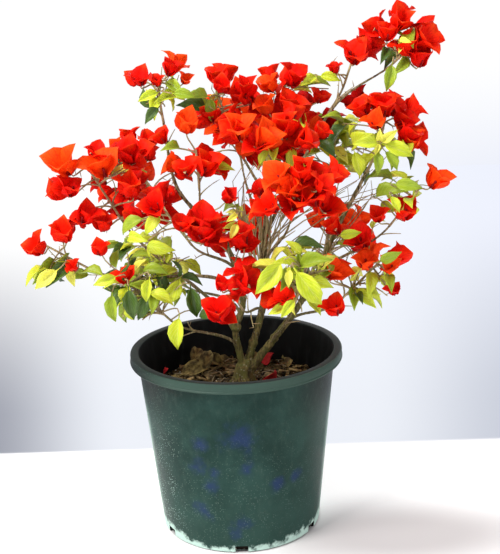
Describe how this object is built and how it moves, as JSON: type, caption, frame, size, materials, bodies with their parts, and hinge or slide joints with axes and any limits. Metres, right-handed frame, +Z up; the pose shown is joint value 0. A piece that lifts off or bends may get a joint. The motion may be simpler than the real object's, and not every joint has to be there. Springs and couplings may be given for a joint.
{
  "type": "potted flowering shrub",
  "caption": "Bushy scarlet bougainvillea with a forked woody trunk, growing in a round tapered plastic nursery pot.",
  "frame": {"origin": "centre of the pot's flat underside", "axes": "+Z up along the pot's axis; -Y towards the side the plant is mostly seen from; +X to the right from there, the way the tallest bough leans"},
  "size_m": [0.4969, 0.3253, 0.6045],
  "materials": {
    "pot": "semi-matt dark grey-green moulded plastic",
    "potting_mix": "matt, damp bark potting mix",
    "bark": "matt olive-brown bark",
    "blooming_mass": "papery scarlet bracts with yellow-green leaves",
    "leafy_mass": "satin yellow-green leaves"
  },
  "bodies": {
    "root": {"pot": "pot", "potting_mix": "potting_mix", "trunk": "bark", "left_stem": "bark", "middle_stem": "bark", "right_stem": "bark", "bough_left_side": "bark", "bough_left_tip": "bark", "bough_low_left": "bark", "bough_inner_left": "bark", "bough_shoulder_left": "bark", "bough_back_left": "bark", "bough_low_back_left": "bark", "bough_crown_left": "bark", "bough_crown_top": "bark", "bough_front": "bark", "bough_low_front": "bark", "bough_back": "bark", "bough_low_back": "bark", "bough_top_tip": "bark", "bough_top_shoulder": "bark", "bough_right_side": "bark", "bough_low_right": "bark", "bough_front_right": "bark", "bough_back_right": "bark", "bough_low_back_right": "bark", "mass_spray_upper_left": "blooming_mass", "mass_crown_centre": "blooming_mass", "mass_crown_right": "blooming_mass", "mass_side_left": "blooming_mass", "mass_tip_left": "blooming_mass", "mass_low_left": "leafy_mass", "mass_inner_left": "blooming_mass", "mass_shoulder_left": "blooming_mass", "mass_back_left": "blooming_mass", "mass_low_back_left": "leafy_mass", "mass_crown_left": "blooming_mass", "mass_crown_top": "blooming_mass", "mass_front": "blooming_mass", "mass_low_front": "blooming_mass", "mass_back": "blooming_mass", "mass_low_back": "blooming_mass", "mass_tip_top_right": "blooming_mass", "mass_shoulder_top": "blooming_mass", "mass_side_right": "blooming_mass", "mass_low_right": "blooming_mass", "mass_front_right": "leafy_mass", "mass_back_right": "blooming_mass", "mass_low_back_right": "blooming_mass"}
  },
  "joints": []
}
